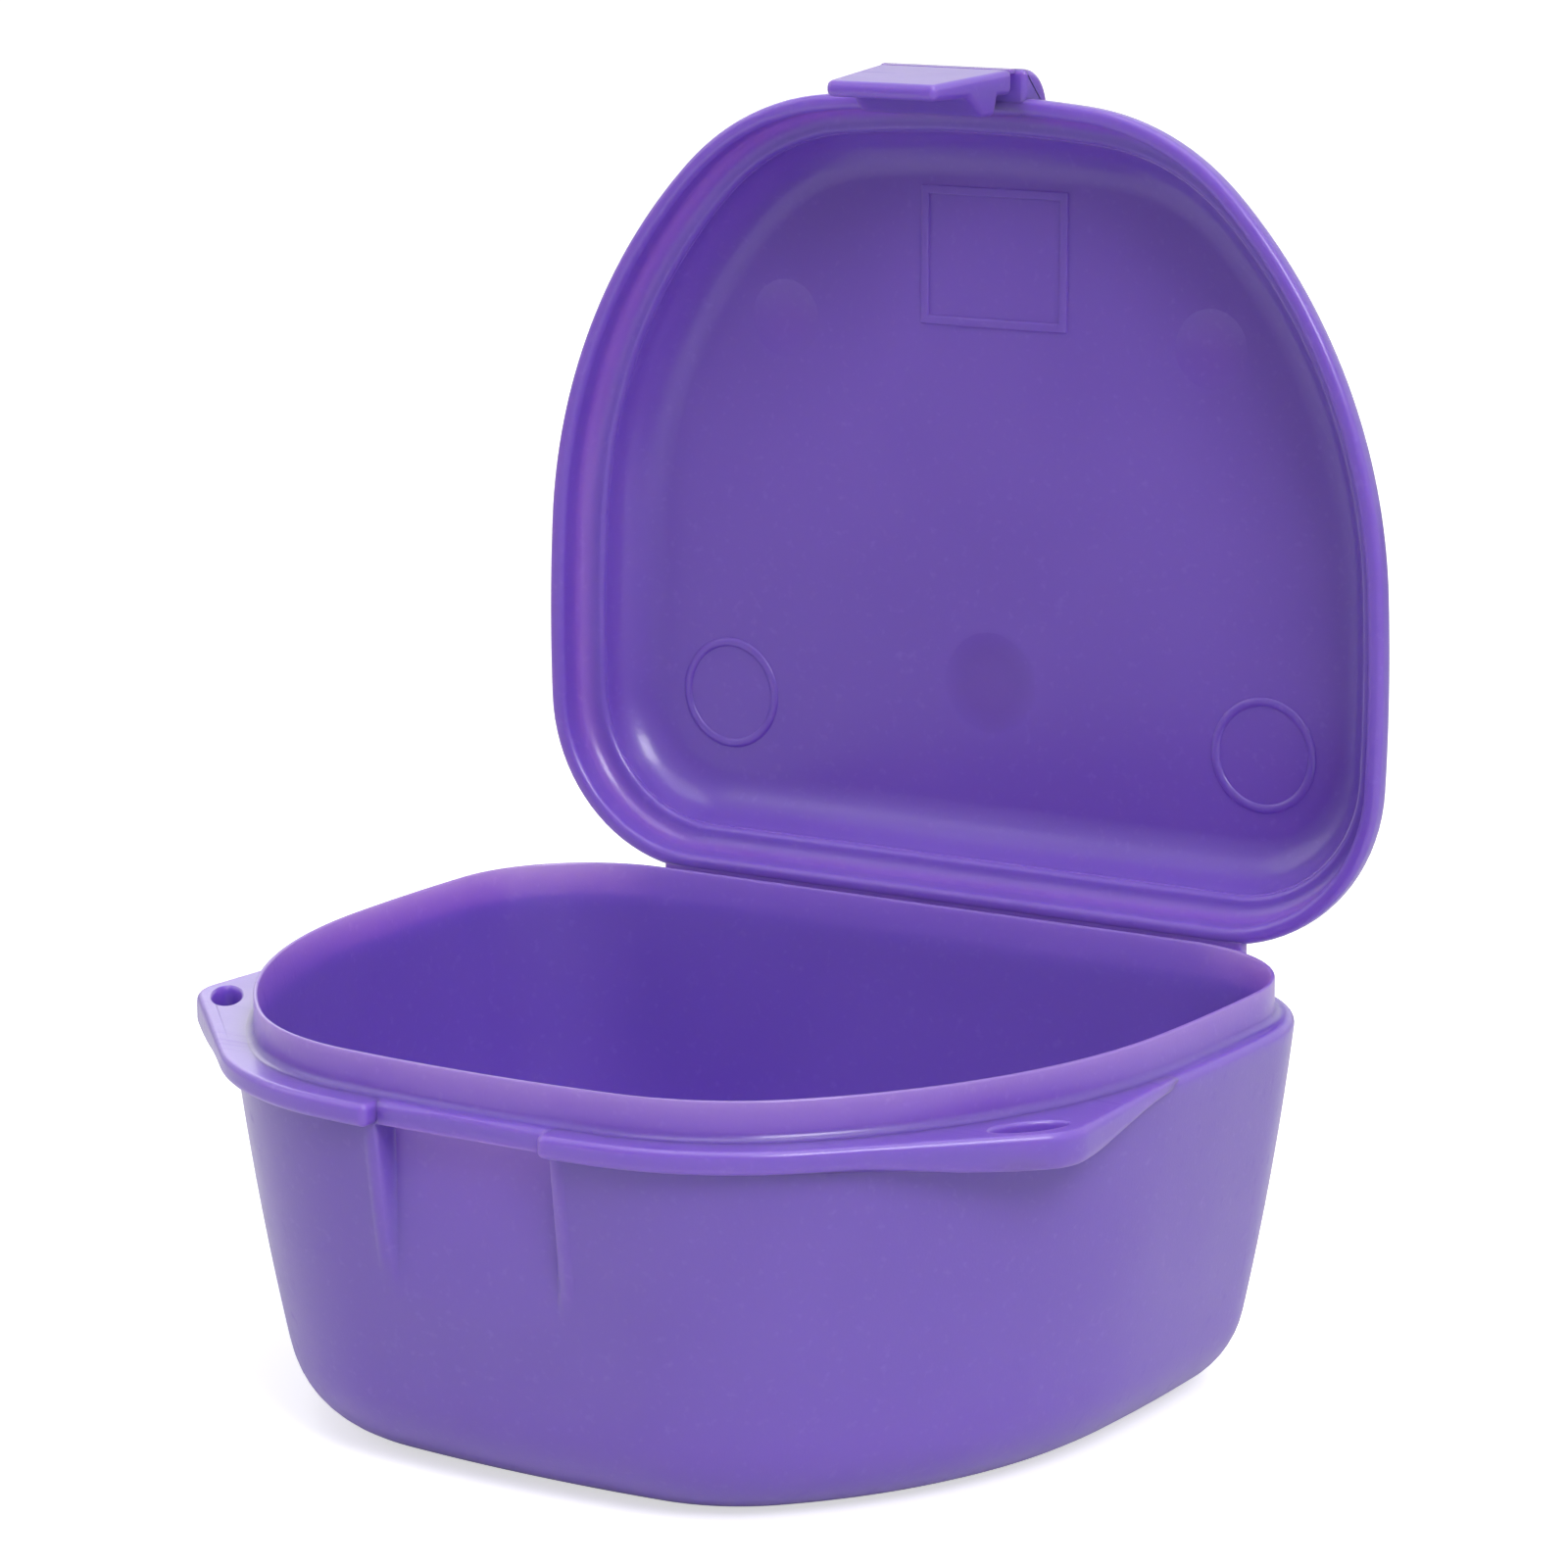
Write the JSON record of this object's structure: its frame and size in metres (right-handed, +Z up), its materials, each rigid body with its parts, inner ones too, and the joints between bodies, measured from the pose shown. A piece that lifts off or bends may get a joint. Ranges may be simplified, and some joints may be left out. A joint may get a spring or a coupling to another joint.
{
  "type": "retainer case",
  "caption": "Deep rounded plastic retainer case with a shallow lid on a film hinge at the back, a snap latch at the front and cord eyelets at the sides.",
  "frame": {"origin": "on the surface that the tub stands on, under the middle of the case's outline", "axes": "+X across the case, -Y to the front with the latch, +Y to the back with the hinge, +Z up"},
  "size_m": [0.0808, 0.0798, 0.1022],
  "materials": {
    "violet_plastic": "satin injection-moulded polypropylene, slightly translucent at thin edges",
    "violet_film": "the same polypropylene as a thin film, lighter where the light comes through"
  },
  "bodies": {
    "base": {"tub": "violet_plastic", "eyelet_lug_left": "violet_plastic", "eyelet_lug_right": "violet_plastic", "hinge_leaf_base": "violet_plastic", "hinge_film": "violet_film"},
    "lid": {"lid_shell": "violet_plastic", "hinge_leaf_lid": "violet_plastic", "latch_mount": "violet_plastic", "latch_film": "violet_film"},
    "latch": {"latch_flap": "violet_plastic"}
  },
  "joints": [
    {"name": "lid_hinge", "type": "hinge", "parent": "base", "child": "lid", "pos_m": [0, 0.03559, 0.03065], "axis": [-1, 0, 0], "range_deg": [-90.7, 89.3], "deforming": ["hinge_film"]},
    {"name": "latch_hinge", "type": "hinge", "parent": "lid", "child": "latch", "pos_m": [0, 0.03613, 0.102], "axis": [-1, 0, 0], "range_deg": [0, 100], "deforming": ["latch_film"]}
  ]
}
